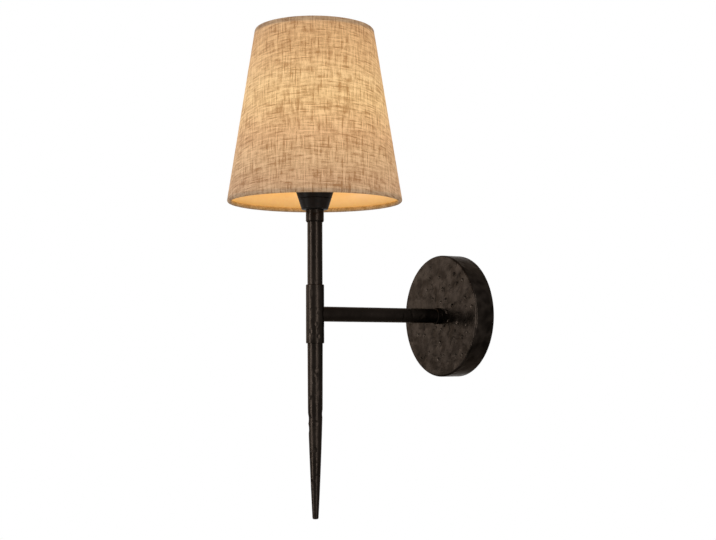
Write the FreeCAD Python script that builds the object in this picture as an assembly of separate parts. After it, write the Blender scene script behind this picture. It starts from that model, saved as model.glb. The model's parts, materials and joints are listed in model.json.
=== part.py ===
import FreeCAD, Part
import math
import os
import random

# A torch-shaped wall light: a round hammered wall plate, a level arm, a collar with a stem above it and a
# forged spike below, a lamp holder with a bulb, and a tapered linen shade.
#
# Millimetres, +z up. The wall is the plane y = 0 and the light stands out from it along -y. The origin is the
# middle of the two wall screws. Stem, spike, lamp holder and shade share one upright axis at y = -reach.

# Driving dimensions
plate_radius = 63.5
plate_depth = 22.5
plate_sheet = 1.6
plate_edge = 2.0
reach = 173.5
tube_radius = 7.5
tube_wall = 1.5
arm_ring_radius = 8.5
arm_ring_length = 7.0
collar_radius = 9.0
collar_length = 58.0
neck_radius = 8.95
neck_length = 12.3
neck_top = 103.3
spike_radius = 7.6
spike_shoulder = -92.0
spike_tip = -200.3
spike_tip_radius = 3.0
shade_bottom = 110.5
shade_height = 173.5
shade_bottom_radius = 87.0
shade_top_radius = 59.4

# Hammer dents on the plate's face
dent_count = 38
dent_band = (13.0, 57.0)
dent_spacing = 7.0
dent_ball = (3.2, 5.0)
dent_depth = (0.35, 0.75)

# Wall bracket: junction boxes have their screws 69.9 or 88.9 apart, and each slot spans both
box_screws_near = 69.85
box_screws_far = 88.9
slot_width = 4.6
strap_width = 24.0
strap_sheet = 2.0
strap_clearance = 0.5
tab_width = 13.0
tab_depth = 15.0
cable_hole_radius = 8.0
set_screw_radius = 2.0
set_screw_length = 8.0
set_screw_depth = 9.0
ground_screw_radius = 2.4
ground_height = 20.0
ground_head = 8.0
ground_flange = 5.0
eyelet_radius = 4.8
eyelet_sheet = 0.8
eyelet_barrel = 1.7
eyelet_barrel_start = 5.3

# Terminal block on the bracket
terminal_height = -22.0
pole_pitch = 10.0
pole_depth = 7.5
block_size = (30.0, 12.0, 17.0)
block_screw_radius = 1.5
pole_tube = 2.5
pole_bore = 1.6
pole_barrel = 4.6
pole_tower = 3.3
clamp_screw = 1.4
clamp_head = 1.85
clamp_spread = 4.5

# Hollow threaded rod with its nut and washer
rod_radius = 5.0
rod_bore = 3.5
nut_across_flats = 14.0
nut_height = 3.5
washer_radius = 8.5
washer_sheet = 1.0
washer_teeth = 12
plug_length = 10.0

# Lamp holder
cup_base_radius = 13.5
cup_rim_radius = 19.6
cup_height = 20.7
cup_floor = 3.5
thread_neck_radius = 16.0
holder_bore = 14.35
shoulder_radius = 20.9
shoulder_height = 3.0
skirt_radius = 19.3
skirt_height = 25.0
shell_radius = 13.95
shell_sheet = 0.4
shell_height = 24.5
contact_screw_offset = 8.5

# Bulb, pear-shaped, 60 x 110 with a 26 mm screw cap
lamp_radius = 30.0
lamp_length = 110.0
lamp_neck_radius = 14.0
lamp_neck_curve = 60.0
lamp_glass = 0.8
lamp_cap_radius = 13.15
lamp_cap_height = 24.5
lamp_cap_sheet = 0.4

# Shade frame and covering
frame_wire = 1.4
cloth = 0.6
liner_sheet = 0.4
hem_depth = 6.0
spoke_radius = 1.2
spoke_angles = (30, 150, 270)
fitter_inner = 19.7
fitter_outer = 26.0
fitter_sheet = 1.0
ring_nut_bore = 19.5
ring_nut_flange = 26.5
ring_nut_grip = 23.2
ring_nut_height = 8.0
ring_nut_grooves = 20

lead_radius = 1.1
lead_offset = 1.4
body_gap = 0.2

# Heights that follow from these, up the stem's axis
neck_bottom = neck_top - neck_length
neck_plate = 2.0
cup_top = neck_top + cup_height
shoulder_top = cup_top + shoulder_height
skirt_top = shoulder_top + skirt_height
core_top = cup_top + 1.5
lamp_tip = core_top + 3.5
puck_seat = cup_top - 6.0
puck_foot = cup_top - 7.5
lead_top = cup_top - 11.6
fitter_bottom = shoulder_top + body_gap
ring_nut_bottom = fitter_bottom + fitter_sheet + 0.3
shade_top = shade_bottom + shade_height
shade_slope = math.atan2(shade_bottom_radius - shade_top_radius, shade_height)
shade_slant = shade_height / math.cos(shade_slope)
wire_inset = frame_wire + cloth
eyelet_top = strap_sheet + eyelet_sheet

V = FreeCAD.Vector
ORIGIN = V(0, 0, 0)
RIGHT = V(1, 0, 0)
OUT = V(0, -1, 0)
UP = V(0, 0, 1)


def line(a, b):
    """Straight outline edge between two (radius, height) points."""
    return Part.makeLine(V(a[0], 0, a[1]), V(b[0], 0, b[1]))


def arc(a, middle, b):
    """Outline arc through three (radius, height) points."""
    return Part.Arc(V(a[0], 0, a[1]), V(middle[0], 0, middle[1]), V(b[0], 0, b[1])).toShape()


def turned(edges):
    """Solid of revolution about the z axis."""
    return Part.Face(Part.Wire(edges)).revolve(ORIGIN, UP, 360)


def turned_points(*points):
    """Solid of revolution of a straight-sided outline."""
    return turned([line(a, b) for a, b in zip(points, points[1:] + points[:1])])


def rod(radius, low, high):
    return Part.makeCylinder(radius, high - low, V(0, 0, low))


def tube(outer, inner, low, high):
    return turned_points((inner, low), (outer, low), (outer, high), (inner, high))


def chamfered_tube(outer, inner, low, high, edge):
    return turned_points((inner, low), (outer - edge, low), (outer, low + edge), (outer, high - edge),
                         (outer - edge, high), (inner, high))


def hexagon(across_flats, low, high):
    corner = across_flats / math.sqrt(3)
    points = [polar(corner, 60 * i, low) for i in range(7)]
    return Part.Face(Part.makePolygon(points)).extrude(UP * (high - low))


def block(x, y, z):
    """Box from (low, high) pairs."""
    return Part.makeBox(x[1] - x[0], y[1] - y[0], z[1] - z[0], V(x[0], y[0], z[0]))


def polar(radius, degrees, height):
    return V(radius * math.cos(math.radians(degrees)), radius * math.sin(math.radians(degrees)), height)


def on_stem(shape):
    """Moves a piece modelled about the z axis onto the stem's axis."""
    shape.translate(V(0, -reach, 0))
    return shape


def on_arm(shape):
    """Lays a piece modelled along z down along the arm, so that its height is its distance from the wall."""
    shape.rotate(ORIGIN, RIGHT, 90)
    return shape


def bent_rod(points, radius, bends):
    """Round wire along straight runs joined by tangent arcs, with one bend radius for each inner point."""
    edges = []
    start = points[0]
    for before, corner, after, bend in zip(points, points[1:], points[2:], bends):
        way_in = (corner - before).normalize()
        way_out = (after - corner).normalize()
        half_turn = way_in.getAngle(way_out) / 2
        setback = bend * math.tan(half_turn)
        inwards = (way_out - way_in).normalize()
        arc_start = corner - way_in * setback
        arc_end = corner + way_out * setback
        arc_middle = corner + inwards * (bend / math.cos(half_turn) - bend)
        edges.append(Part.makeLine(start, arc_start))
        edges.append(Part.Arc(arc_start, arc_middle, arc_end).toShape())
        start = arc_end
    edges.append(Part.makeLine(start, points[-1]))
    section = Part.Wire(Part.makeCircle(radius, points[0], points[1] - points[0]))
    return Part.Wire(edges).makePipeShell([section], True, False)


def ball_dent(surface_point, outwards, ball, depth):
    """Ball that leaves a dent of this depth when it is cut from a surface."""
    return Part.makeSphere(ball, surface_point + outwards * (ball - depth))


# Wall plate

def hammer_marks():
    """Scattered dents on the plate's face, clear of the arm's ring and of each other."""
    scatter = random.Random(5)
    nearest, farthest = dent_band
    places = []
    while len(places) < dent_count:
        radius = math.sqrt(scatter.uniform(nearest ** 2, farthest ** 2))
        place = polar(radius, scatter.uniform(0, 360), plate_depth)
        if all(place.distanceToPoint(other) > dent_spacing for other in places):
            places.append(place)
    return [ball_dent(place, UP, scatter.uniform(*dent_ball), scatter.uniform(*dent_depth))
            for place in places]


def make_backplate():
    """Pressed pan with a rounded front edge and a hammered face."""
    hole = rod_radius + 0.1
    floor = plate_depth - plate_sheet
    inner = plate_radius - plate_sheet
    face_edge = plate_radius - plate_edge
    rim_edge = plate_depth - plate_edge
    bulge = plate_edge * math.sqrt(0.5)
    outline = [line((hole, floor), (inner, floor)),
               line((inner, floor), (inner, 0)),
               line((inner, 0), (plate_radius, 0)),
               line((plate_radius, 0), (plate_radius, rim_edge)),
               arc((plate_radius, rim_edge), (face_edge + bulge, rim_edge + bulge), (face_edge, plate_depth)),
               line((face_edge, plate_depth), (hole, plate_depth)),
               line((hole, plate_depth), (hole, floor))]
    pan = turned(outline).cut(hammer_marks())
    pan = on_arm(pan)
    screw_hole = Part.makeCylinder(set_screw_radius + 0.15, 2 * plate_radius + 2,
                                   V(0, -set_screw_depth, -plate_radius - 1))
    return pan.cut(screw_hole)


def make_plate_screws():
    """Two set screws with hexagon sockets, flush with the plate's rim at 12 and 6 o'clock."""
    top = plate_radius - 0.1
    low = top - set_screw_length
    tip_edge = 0.6
    top_edge = 0.3
    key_size = 2.0
    key_depth = 2.5
    screw = turned_points((0, low), (set_screw_radius - tip_edge, low), (set_screw_radius, low + tip_edge),
                          (set_screw_radius, top - top_edge), (set_screw_radius - top_edge, top), (0, top))
    screw = screw.cut(hexagon(key_size, top - key_depth, top + 1))
    screw.translate(OUT * set_screw_depth)
    return Part.makeCompound([screw, screw.mirror(ORIGIN, UP)])


# Bracket, earthing and terminals

def make_wall_bracket():
    """Strap with a cable hole, two slots and a bent, tapped tab at each end."""
    end = plate_radius - plate_sheet - strap_clearance
    inner_end = end - strap_sheet
    profile = Part.makePolygon([V(0, 0, -end), V(0, 0, end), V(0, -tab_depth, end),
                                V(0, -tab_depth, inner_end), V(0, -strap_sheet, inner_end),
                                V(0, -strap_sheet, -inner_end), V(0, -tab_depth, -inner_end),
                                V(0, -tab_depth, -end), V(0, 0, -end)])
    strap = Part.Face(profile).extrude(RIGHT * strap_width)
    strap.translate(RIGHT * (-strap_width / 2))
    bends = [edge for edge in strap.Edges
             if abs(abs(edge.CenterOfMass.z) - end) < 0.01 and abs(edge.CenterOfMass.y) < 0.01]
    strap = strap.makeFillet(strap_sheet, bends)
    wide = strap_width / 2
    narrow = tab_width / 2
    neck = inner_end - 4
    shoulder = neck - 6
    front_view = [V(-narrow, 1, -end - 1), V(narrow, 1, -end - 1), V(narrow, 1, -neck), V(wide, 1, -shoulder),
                  V(wide, 1, shoulder), V(narrow, 1, neck), V(narrow, 1, end + 1), V(-narrow, 1, end + 1),
                  V(-narrow, 1, neck), V(-wide, 1, shoulder), V(-wide, 1, -shoulder), V(-narrow, 1, -neck),
                  V(-narrow, 1, -end - 1)]
    strap = strap.common(Part.Face(Part.makePolygon(front_view)).extrude(OUT * (tab_depth + 2)))
    slot_centre = (box_screws_near + box_screws_far) / 4
    slot_travel = (box_screws_far - box_screws_near) / 4
    for centre in (slot_centre, -slot_centre):
        strap = strap.cut(strap_hole(0, centre - slot_travel, slot_width / 2))
        strap = strap.cut(strap_hole(0, centre + slot_travel, slot_width / 2))
        strap = strap.cut(block((-slot_width / 2, slot_width / 2), (-strap_sheet - 1, 1),
                                (centre - slot_travel, centre + slot_travel)))
    strap = strap.cut(strap_hole(0, 0, cable_hole_radius))
    strap = strap.cut(strap_hole(0, ground_height, ground_screw_radius))
    strap = strap.cut(strap_hole(pole_pitch / 2, terminal_height, block_screw_radius))
    tapped = Part.makeCylinder(set_screw_radius, 2 * end + 2, V(0, -set_screw_depth, -end - 1))
    return strap.cut(tapped)


def strap_hole(x, z, radius):
    return Part.makeCylinder(radius, strap_sheet + 2, V(x, 1, z), OUT)


def from_wall(shape, x, z):
    """Stands a piece modelled along z out from the wall at (x, z)."""
    on_arm(shape)
    shape.translate(V(x, 0, z))
    return shape


def make_ground_screw():
    """Hexagon washer-head screw with a slot; it ends flush with the strap's back."""
    flange_top = eyelet_top + 1
    head_top = flange_top + 3
    slot_floor = head_top - 1.4
    head = hexagon(ground_head, flange_top, head_top).fuse(rod(ground_flange, eyelet_top, flange_top))
    head = head.cut(block((-ground_head, ground_head), (-0.5, 0.5), (slot_floor, head_top + 1)))
    screw = head.fuse(rod(ground_screw_radius, 0, flange_top)).removeSplitter()
    return from_wall(screw, 0, ground_height)


def make_earth_eyelet():
    """Ring terminal under the ground screw, with its barrel to one side."""
    ring = tube(eyelet_radius, ground_screw_radius + 0.1, strap_sheet, eyelet_top)
    start = V(eyelet_barrel_start, 0, strap_sheet + eyelet_barrel)
    barrel = Part.makeCylinder(eyelet_barrel, 5, start, RIGHT)
    web = block((eyelet_radius - 0.6, eyelet_radius + 1.2), (-1.5, 1.5), (strap_sheet, eyelet_top))
    bore = Part.makeCylinder(lead_radius, 6, start, RIGHT)
    return from_wall(ring.fuse(web).fuse(barrel).cut(bore).removeSplitter(), 0, ground_height)


def pole_places():
    return [-pole_pitch, 0, pole_pitch]


def make_terminal_block():
    """Three-pole block with a rounded barrel over each pole."""
    width, depth, height = block_size
    low = terminal_height - height / 2
    towers = (terminal_height - clamp_spread, terminal_height + clamp_spread)
    body = block((-width / 2, width / 2), (-strap_sheet - depth / 2, -strap_sheet), (low, low + height))
    for x in pole_places():
        body = body.fuse(Part.makeCylinder(pole_barrel, height, V(x, -pole_depth - 1.4, low)))
        for z in towers:
            body = body.fuse(Part.makeCylinder(pole_tower, 5.5, V(x, -pole_depth - 1.5, z), OUT))
    for x in pole_places():
        body = body.cut(Part.makeCylinder(pole_tube, height + 2, V(x, -pole_depth, low - 1)))
        for z in towers:
            body = body.cut(Part.makeCylinder(clamp_head + 0.05, 12, V(x, -pole_depth, z), OUT))
    hole = Part.makeCylinder(block_screw_radius + 0.1, 20, V(pole_pitch / 2, 1, terminal_height), OUT)
    sink = Part.makeCylinder(2.9, 20, V(pole_pitch / 2, -strap_sheet - 3, terminal_height), OUT)
    return body.cut(hole).cut(sink).removeSplitter()


def make_terminal_tubes():
    """Brass tubes of the three poles, tapped for two screws each."""
    length = block_size[2] - 2
    low = terminal_height - length / 2
    tubes = []
    for x in pole_places():
        pole = tube(pole_tube, pole_bore, low, low + length)
        pole.translate(V(x, -pole_depth, 0))
        for z in (terminal_height - clamp_spread, terminal_height + clamp_spread):
            pole = pole.cut(Part.makeCylinder(clamp_screw, 6, V(x, -pole_depth, z), OUT))
        tubes.append(pole)
    return Part.makeCompound(tubes)


def make_terminal_screws():
    """Slotted screws that clamp the leads in the poles."""
    screws = []
    tip = pole_depth + lead_radius + 0.1
    for x in pole_places():
        for z in (terminal_height - clamp_spread, terminal_height + clamp_spread):
            screw = rod(clamp_screw, tip, tip + 4).fuse(rod(clamp_head, tip + 1.6, tip + 4))
            screw = screw.cut(block((-3, 3), (-0.35, 0.35), (tip + 3, tip + 5)))
            screws.append(from_wall(screw, x, z))
    return Part.makeCompound(screws)


def make_block_screw():
    """Pan-head screw between two poles that holds the block on the strap."""
    top = strap_sheet + 3
    screw = rod(block_screw_radius, 0, top).fuse(chamfered_tube(2.7, 0, top, top + 2, 0.6))
    screw = screw.cut(block((-3, 3), (-0.4, 0.4), (top + 1.2, top + 3)))
    return from_wall(screw, pole_pitch / 2, terminal_height)


# Leads: two through arm and stem to the lamp holder, and a short one to the ground screw

def make_lamp_lead(pole_x, side):
    corner = V(side * lead_offset, -6.5, 0)
    points = [V(pole_x, -pole_depth, terminal_height + 2),
              V(pole_x, -pole_depth, -6.0),
              corner,
              V(side * lead_offset, -reach, 0),
              V(side * lead_offset, -reach, lead_top),
              V(side * contact_screw_offset, -reach, lead_top)]
    return bent_rod(points, lead_radius, bends=(2.5, 3.0, 8.0, 2.2))


def make_earth_lead():
    points = [V(6.0, -strap_sheet - 1.7, ground_height),
              V(13.5, -strap_sheet - 1.7, ground_height),
              V(13.0, -6.0, 6.0),
              V(pole_pitch, -pole_depth, -6.0),
              V(pole_pitch, -pole_depth, terminal_height + 2)]
    return bent_rod(points, lead_radius, bends=(3.0, 12.0, 8.0))


# Arm

def make_arm_rod():
    return on_arm(tube(rod_radius, rod_bore, plate_depth - plate_sheet - 7.5, plate_depth + plug_length))


def make_arm_nut():
    low = plate_depth - plate_sheet - washer_sheet - nut_height
    nut = hexagon(nut_across_flats, low, low + nut_height).cut(rod(rod_radius, low - 1, low + nut_height + 1))
    return on_arm(nut)


def make_arm_washer():
    """Lock washer with teeth round its edge."""
    high = plate_depth - plate_sheet
    low = high - washer_sheet
    washer = tube(washer_radius, rod_radius + 0.1, low, high)
    gaps = []
    for i in range(washer_teeth):
        gap = block((washer_radius - 1.4, washer_radius + 1), (-0.6, 0.6), (low - 1, high + 1))
        gap.rotate(ORIGIN, UP, 360 / washer_teeth * i)
        gaps.append(gap)
    return on_arm(washer.cut(gaps))


def make_arm_ring():
    low = plate_depth
    return on_arm(chamfered_tube(arm_ring_radius, tube_radius, low, low + arm_ring_length, 0.6))


def make_arm_tube():
    """Level tube from the plate to the collar, its end shaped to the collar's round side."""
    arm = on_arm(tube(tube_radius, tube_radius - tube_wall, plate_depth, reach))
    return arm.cut(on_stem(rod(collar_radius, -collar_length, collar_length)))


def make_arm_plug():
    return on_arm(tube(tube_radius - tube_wall, rod_radius, plate_depth, plate_depth + plug_length))


# Collar, stem and spike

def make_collar():
    """Sleeve with a port for the leads where the arm meets it, lightly hammered in its lower half."""
    half = collar_length / 2
    collar = chamfered_tube(collar_radius, tube_radius, -half, half, 0.5)
    port = Part.makeCylinder(tube_radius - tube_wall, collar_radius + 2, ORIGIN, V(0, 1, 0))
    dents = [ball_dent(polar(collar_radius, angle, height), polar(1, angle, 0), ball, depth)
             for angle, height, ball, depth in ((322, -3, 9, 0.3), (338, -10, 8, 0.35), (300, -17, 10, 0.35),
                                                (350, -22, 8, 0.4), (265, -8, 9, 0.3), (230, -20, 9, 0.35),
                                                (180, -12, 9, 0.35), (130, -20, 8, 0.3), (60, -15, 9, 0.3))]
    return on_stem(collar.cut(port).cut(dents))


def make_stem_tube():
    half = collar_length / 2
    return on_stem(tube(tube_radius, tube_radius - tube_wall, half - 20, neck_top - neck_plate))


def make_stem_plug():
    high = neck_top - neck_plate
    return on_stem(tube(tube_radius - tube_wall, rod_radius, high - plug_length, high))


def make_stem_ring():
    """Ferrule that caps the stem, open below, with a chamfered lower edge."""
    hole = rod_radius + 0.1
    inner_top = neck_top - neck_plate
    return on_stem(turned_points((tube_radius, neck_bottom), (neck_radius - 0.7, neck_bottom),
                                 (neck_radius, neck_bottom + 1.1), (neck_radius, neck_top - 0.4),
                                 (neck_radius - 0.4, neck_top), (hole, neck_top), (hole, inner_top),
                                 (tube_radius, inner_top)))


def make_spike():
    """Forged bar: straight below the collar, then a long taper to a blunt tip, with hammer dents."""
    shank_top = -collar_length / 2 + 20
    collar_end = -collar_length / 2
    belly_height = (spike_shoulder + spike_tip) / 2
    belly_radius = (spike_radius + spike_tip_radius) / 2 + 0.2
    tip_edge = 0.8
    outline = [line((0, shank_top), (tube_radius, shank_top)),
               line((tube_radius, shank_top), (tube_radius, collar_end - 0.1)),
               line((tube_radius, collar_end - 0.1), (spike_radius, collar_end - 0.2)),
               line((spike_radius, collar_end - 0.2), (spike_radius - 0.3, spike_shoulder)),
               arc((spike_radius - 0.3, spike_shoulder), (belly_radius, belly_height),
                   (spike_tip_radius, spike_tip + tip_edge)),
               line((spike_tip_radius, spike_tip + tip_edge), (spike_tip_radius - tip_edge, spike_tip)),
               line((spike_tip_radius - tip_edge, spike_tip), (0, spike_tip)),
               line((0, spike_tip), (0, shank_top))]
    dents = [ball_dent(polar(radius, angle, height), polar(1, angle, 0), ball, depth)
             for angle, height, radius, ball, depth in (
                 (240, -103, 7.2, 14, 1.1), (240, -113, 6.9, 16, 0.9), (335, -60, 7.5, 8, 0.4),
                 (322, -68, 7.5, 9, 0.4), (344, -107, 7.1, 7, 0.6), (318, -110, 7.0, 7, 0.5),
                 (326, -133, 5.9, 9, 0.45), (150, -75, 7.4, 12, 0.6), (60, -98, 7.2, 12, 0.7),
                 (100, -120, 6.5, 12, 0.6), (20, -145, 5.5, 10, 0.4), (200, -150, 5.2, 10, 0.4),
                 (285, -82, 7.4, 10, 0.4), (285, -165, 4.4, 9, 0.3))]
    return on_stem(turned(outline).cut(dents))


# Lamp holder

def make_socket_rod():
    return on_stem(tube(rod_radius, rod_bore, neck_top - plug_length, neck_top + 2 * cup_floor))


def make_socket_cap():
    """Tapered cup with a rounded foot, a fine groove round it and a threaded boss inside."""
    foot = 1.8
    bulge = foot * (1 - math.sqrt(0.5))
    groove = neck_top + 10.6
    slope = (cup_rim_radius - cup_base_radius) / (cup_height - foot)

    def side(height):
        return cup_base_radius + slope * (height - neck_top - foot), height

    inner_floor = neck_top + cup_floor
    neck_seat = puck_seat - 0.5
    groove_floor = (side(groove)[0] - 0.5, groove + 0.4)
    outline = [line((rod_radius, neck_top), (cup_base_radius - foot, neck_top)),
               arc((cup_base_radius - foot, neck_top), (cup_base_radius - bulge, neck_top + bulge),
                   side(neck_top + foot)),
               line(side(neck_top + foot), side(groove)),
               line(side(groove), groove_floor),
               line(groove_floor, side(groove + 0.8)),
               line(side(groove + 0.8), (cup_rim_radius, cup_top)),
               line((cup_rim_radius, cup_top), (thread_neck_radius, cup_top)),
               line((thread_neck_radius, cup_top), (thread_neck_radius, neck_seat)),
               line((thread_neck_radius, neck_seat), (cup_base_radius - 2.4, inner_floor)),
               line((cup_base_radius - 2.4, inner_floor), (rod_radius + 3, inner_floor)),
               line((rod_radius + 3, inner_floor), (rod_radius + 3, neck_top + 2 * cup_floor)),
               line((rod_radius + 3, neck_top + 2 * cup_floor), (rod_radius, neck_top + 2 * cup_floor)),
               line((rod_radius, neck_top + 2 * cup_floor), (rod_radius, neck_top))]
    return on_stem(turned(outline))


def make_socket_body():
    """Skirt with a shoulder for the shade, threaded into the cup below and for the ring nut above."""
    return on_stem(turned_points((holder_bore, puck_seat), (thread_neck_radius, puck_seat),
                                 (thread_neck_radius, cup_top), (shoulder_radius, cup_top),
                                 (shoulder_radius, shoulder_top - 0.4), (shoulder_radius - 0.4, shoulder_top),
                                 (skirt_radius, shoulder_top), (skirt_radius, skirt_top - 1),
                                 (skirt_radius - 1, skirt_top), (holder_bore, skirt_top)))


def make_socket_core():
    """Insulating puck under the screw shell, with a bored foot and two screw holes."""
    core = rod(holder_bore, puck_seat, core_top).fuse(rod(11.5, puck_foot, puck_seat))
    core = core.cut(rod(2.5, puck_foot - 1, core_top - 3))
    for way in (1, -1):
        core = core.cut(Part.makeCylinder(1.75, 20, V(way * contact_screw_offset, 0, puck_foot - 1)))
    return on_stem(core.removeSplitter())


def make_screw_shell():
    """Thin shell that the bulb screws into, with an inward foot on the puck."""
    inner = shell_radius - shell_sheet
    foot = 7.0
    return on_stem(turned_points((foot, core_top), (shell_radius, core_top),
                                 (shell_radius, core_top + shell_height), (inner, core_top + shell_height),
                                 (inner, core_top + shell_sheet), (foot, core_top + shell_sheet)))


def make_centre_contact():
    """Sprung tongue that presses on the bulb's tip."""
    sheet = 0.5
    high = lamp_tip - core_top - 0.3
    points = [V(-5.5, 0, 0), V(-1.5, 0, 0), V(2.5, 0, high - sheet), V(4.5, 0, high - 1.4),
              V(4.8, 0, high - 0.9), V(2.7, 0, high), V(-1.8, 0, sheet), V(-5.5, 0, sheet), V(-5.5, 0, 0)]
    tongue = Part.Face(Part.makePolygon(points)).extrude(V(0, 5, 0))
    tongue.translate(V(0, -2.5, core_top))
    return on_stem(tongue)


def make_contact_screws():
    """Two slotted screws under the puck that hold the leads."""
    screws = []
    head = puck_foot
    for way in (1, -1):
        screw = rod(1.75, head, core_top).fuse(chamfered_tube(3.2, 0, head - 3, head, 0.5))
        screw = screw.cut(block((-4, 4), (-0.4, 0.4), (head - 4, head - 2)))
        screw.translate(RIGHT * (way * contact_screw_offset))
        screws.append(on_stem(screw))
    return Part.makeCompound(screws)


# Bulb

def lamp_outline(inset):
    """Pear shape from its neck to its crown: (neck start, neck middle, joint, shoulder, crown) points."""
    ball = lamp_radius - inset
    curve = lamp_neck_curve + inset
    centre = lamp_tip + lamp_length - lamp_radius
    drop = math.sqrt((lamp_radius + lamp_neck_curve) ** 2 - (lamp_neck_radius + lamp_neck_curve) ** 2)
    curve_centre = (lamp_neck_radius + lamp_neck_curve, centre - drop)
    joint_angle = math.atan2(drop, -curve_centre[0])
    neck_angle = (math.pi + joint_angle) / 2
    ball_angle = (joint_angle - math.pi + math.pi / 2) / 2
    neck_start = (curve_centre[0] - curve, curve_centre[1])
    neck_middle = (curve_centre[0] + curve * math.cos(neck_angle),
                   curve_centre[1] + curve * math.sin(neck_angle))
    joint = (curve_centre[0] + curve * math.cos(joint_angle),
             curve_centre[1] + curve * math.sin(joint_angle))
    shoulder = (ball * math.cos(ball_angle), centre + ball * math.sin(ball_angle))
    return neck_start, neck_middle, joint, shoulder, (0, centre + ball)


def make_bulb_globe():
    """Frosted glass with an open neck that sits in the screw cap."""
    neck_radius_in_cap = lamp_cap_radius - lamp_cap_sheet
    cap_rim = lamp_tip + lamp_cap_height
    neck_foot = cap_rim - 6
    outer = lamp_outline(0)
    inner = lamp_outline(lamp_glass)
    outline = [line((neck_radius_in_cap, neck_foot), (neck_radius_in_cap, cap_rim)),
               line((neck_radius_in_cap, cap_rim), outer[0]),
               arc(outer[0], outer[1], outer[2]),
               arc(outer[2], outer[3], outer[4]),
               line(outer[4], inner[4]),
               arc(inner[4], inner[3], inner[2]),
               arc(inner[2], inner[1], inner[0]),
               line(inner[0], (neck_radius_in_cap - lamp_glass, cap_rim)),
               line((neck_radius_in_cap - lamp_glass, cap_rim), (neck_radius_in_cap - lamp_glass, neck_foot)),
               line((neck_radius_in_cap - lamp_glass, neck_foot), (neck_radius_in_cap, neck_foot))]
    return on_stem(turned(outline))


def make_bulb_cap():
    """Thin metal screw cap, drawn in towards its foot."""
    inner = lamp_cap_radius - lamp_cap_sheet
    foot = lamp_tip + 3.2
    rim = lamp_tip + lamp_cap_height
    return on_stem(turned_points((8.6, foot), (9.2, foot), (lamp_cap_radius, foot + 3.6),
                                 (lamp_cap_radius, rim), (inner, rim), (inner, foot + 3.8)))


def make_bulb_insulator():
    low = lamp_tip + 1.6
    return on_stem(turned_points((4.9, low), (6.5, low), (9.2, low + 1.6), (4.9, low + 1.6)))


def make_bulb_contact():
    low = lamp_tip
    return on_stem(turned_points((0, low), (3.2, low), (4.6, low + 0.9), (4.6, low + 1.4), (0, low + 1.4)))


# Shade

def skin(along, inwards):
    """(radius, height) point of the shade's wall, from its top edge down the slope and in from its face."""
    radius = shade_top_radius + along * math.sin(shade_slope) - inwards * math.cos(shade_slope)
    height = shade_top - along * math.cos(shade_slope) - inwards * math.sin(shade_slope)
    return radius, height


def hem(turn, cloth_face, from_edge):
    """Edges of one face of a hem that wraps a wire and then lies on the liner, from the outside inwards."""
    lies_on = cloth + liner_sheet + 0.05 + (turn - frame_wire)
    away = (hem_depth - wire_inset, lies_on - wire_inset)
    leave = math.atan2(away[1], away[0]) + math.acos(turn / math.hypot(*away))
    start = from_edge(wire_inset, cloth_face)
    middle = from_edge(wire_inset - turn * math.cos((leave - math.pi / 2) / 2),
                       wire_inset + turn * math.sin((leave - math.pi / 2) / 2))
    end = from_edge(wire_inset + turn * math.cos(leave), wire_inset + turn * math.sin(leave))
    flap = from_edge(hem_depth, lies_on)
    return start, middle, end, flap


def from_top(distance, inwards):
    return skin(distance, inwards)


def from_bottom(distance, inwards):
    return skin(shade_slant - distance, inwards)


def wire_ring(from_edge):
    radius, height = from_edge(wire_inset, wire_inset)
    return on_stem(Part.makeTorus(radius, frame_wire, V(0, 0, height)))


def make_shade_fabric():
    """Linen cone whose ends turn in round the wires; the lower hem is slit where the spokes pass."""
    faces = ((wire_inset, 0), (frame_wire, cloth))
    outer_top, inner_top = [hem(turn, face, from_top) for turn, face in faces]
    outer_low, inner_low = [hem(turn, face, from_bottom) for turn, face in faces]
    outline = [line(outer_top[0], outer_low[0]),
               arc(outer_low[0], outer_low[1], outer_low[2]),
               line(outer_low[2], outer_low[3]),
               line(outer_low[3], inner_low[3]),
               line(inner_low[3], inner_low[2]),
               arc(inner_low[2], inner_low[1], inner_low[0]),
               line(inner_low[0], inner_top[0]),
               arc(inner_top[0], inner_top[1], inner_top[2]),
               line(inner_top[2], inner_top[3]),
               line(inner_top[3], outer_top[3]),
               line(outer_top[3], outer_top[2]),
               arc(outer_top[2], outer_top[1], outer_top[0])]
    cone = turned(outline)
    for angle in spoke_angles:
        corner, end = spoke_line(angle)
        slit = Part.makeCylinder(spoke_radius + 0.3, (end - corner).Length, corner, end - corner)
        cone = cone.cut(slit)
    return on_stem(cone)


def make_shade_liner():
    """Smooth sheet inside the linen, between the two wires."""
    low = shade_slant - wire_inset - frame_wire - 0.4
    high = wire_inset + frame_wire + 0.4
    return on_stem(turned_points(skin(high, cloth), skin(low, cloth), skin(low, cloth + liner_sheet),
                                 skin(high, cloth + liner_sheet)))


def spoke_line(angle):
    """Where a spoke starts to slope down, and where it meets the bottom wire."""
    wire_radius, wire_height = from_bottom(wire_inset, wire_inset)
    return polar(30.0, angle, fitter_bottom - spoke_radius), polar(wire_radius, angle, wire_height)


def make_shade_spokes():
    """Spokes welded under the fitter ring that slope down to the bottom wire."""
    wire_radius, wire_height = from_bottom(wire_inset, wire_inset)
    wire = Part.makeTorus(wire_radius, frame_wire, V(0, 0, wire_height))
    spokes = []
    for angle in spoke_angles:
        corner, end = spoke_line(angle)
        start = polar(22.4, angle, fitter_bottom - spoke_radius)
        spoke = bent_rod([start, corner, end], spoke_radius, bends=(12.0,))
        spokes.append(on_stem(spoke.cut(wire)))
    return Part.makeCompound(spokes)


def make_shade_fitter():
    return on_stem(tube(fitter_outer, fitter_inner, fitter_bottom, fitter_bottom + fitter_sheet))


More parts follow.
